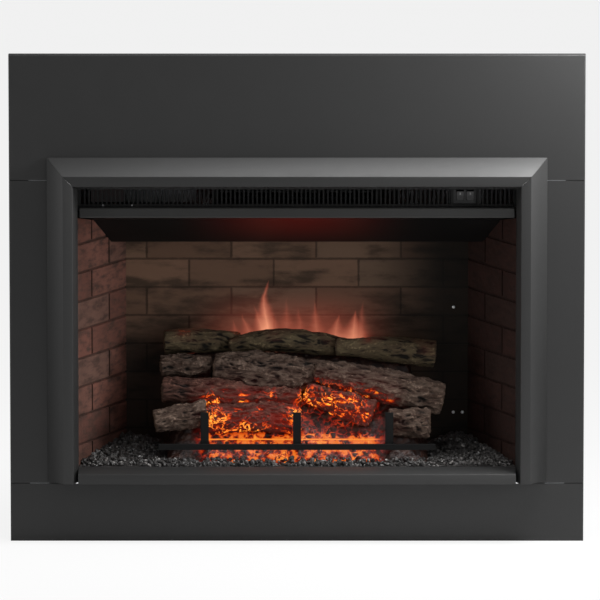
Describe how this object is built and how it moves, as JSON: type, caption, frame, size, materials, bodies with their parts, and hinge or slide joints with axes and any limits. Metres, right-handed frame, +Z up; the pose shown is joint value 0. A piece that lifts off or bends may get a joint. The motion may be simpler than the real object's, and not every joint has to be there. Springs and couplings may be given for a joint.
{
  "type": "fireplace insert",
  "caption": "Electric fireplace insert with a dark metal surround, raised bevelled trim, louvre grille, brick-lined firebox, log set on a grate, glowing embers and a flame screen.",
  "frame": {"origin": "centre of the bounding box in plan, at the lower edge of the surround where the insert stands", "axes": "+X to the right along the front, +Y from the front into the wall, +Z up"},
  "size_m": [1.067, 0.356, 0.911],
  "materials": {
    "powder_coat": "satin powder coat",
    "trim_coat": "satin powder coat",
    "matte_black": "matt",
    "gloss_black": "gloss",
    "galvanised": "spangled zinc",
    "bright_metal": "bright",
    "brick_clay": "rough fired brick",
    "screen_print": "brick pattern, matt",
    "log_bark": "moulded bark",
    "log_green": "moulded smooth bark",
    "log_ember": "charred, lit from below",
    "ember_resin": "translucent, lit from below",
    "stone_grey": "rough",
    "grate_iron": "matt black",
    "control_plastic": "fine texture",
    "rocker_plastic": "gloss",
    "receiver_lens": "dark tinted",
    "laminations": "varnished"
  },
  "bodies": {
    "root": {"surround_header": "powder_coat", "surround_foot": "powder_coat", "surround_left": "powder_coat", "surround_right": "powder_coat", "surround_rail_left": "galvanised", "surround_rail_right": "galvanised", "trim_left": "trim_coat", "trim_right": "trim_coat", "trim_top": "trim_coat", "trim_sill": "trim_coat", "casing_left": "galvanised", "casing_right": "galvanised", "casing_base": "galvanised", "casing_top": "galvanised", "casing_back": "galvanised", "rear_cover": "galvanised", "riser_left": "galvanised", "riser_right": "galvanised", "hearth_deck": "galvanised", "flame_screen": "screen_print", "hood": "gloss_black", "brick_panel_left": "brick_clay", "brick_panel_right": "brick_clay", "deflector_bar": "trim_coat", "louvre_grille": "matte_black", "switch_panel": "control_plastic", "remote_receiver": "receiver_lens", "control_box": "galvanised", "cord_gland": "control_plastic", "log_rear_left": "log_green", "log_rear_centre": "log_green", "log_rear_right": "log_green", "log_middle_left": "log_bark", "log_middle_centre": "log_bark", "log_middle_right": "log_bark", "log_stub_left": "log_bark", "log_split_right": "log_bark", "log_front_left_ember": "log_ember", "log_front_right_ember": "log_ember", "log_runner_left": "log_ember", "grate_dog_left": "grate_iron", "grate_dog_centre": "grate_iron", "grate_dog_right": "grate_iron", "grate_bar": "grate_iron", "ember_bed": "ember_resin", "stone_bed": "stone_grey", "ember_lamp_strip": "bright_metal", "flame_lamp_strip": "bright_metal", "flame_template": "bright_metal", "rotor_bearing": "galvanised", "rotor_motor": "galvanised", "fan_housing": "galvanised", "fan_end_left": "galvanised", "fan_end_right": "galvanised", "blower_motor": "laminations", "heating_element": "bright_metal"},
    "flame_rotor": {"flame_rotor": "bright_metal"},
    "blower_wheel": {"blower_wheel": "bright_metal"},
    "power_rocker": {"power_rocker": "rocker_plastic"},
    "heater_rocker": {"heater_rocker": "rocker_plastic"}
  },
  "joints": [
    {"name": "flame_rotor_spin", "type": "hinge", "parent": "root", "child": "flame_rotor", "pos_m": [0, 0.132, 0.19], "axis": [1, 0, 0], "continuous": true},
    {"name": "blower_spin", "type": "hinge", "parent": "root", "child": "blower_wheel", "pos_m": [0, 0.057, 0.6246], "axis": [1, 0, 0], "continuous": true},
    {"name": "power_rocker_tilt", "type": "hinge", "parent": "root", "child": "power_rocker", "pos_m": [0.3027, -0.1097, 0.64775], "axis": [-1, 0, 0], "range_deg": [0, 20]},
    {"name": "heater_rocker_tilt", "type": "hinge", "parent": "root", "child": "heater_rocker", "pos_m": [0.3213, -0.1097, 0.64775], "axis": [-1, 0, 0], "range_deg": [0, 20]}
  ]
}
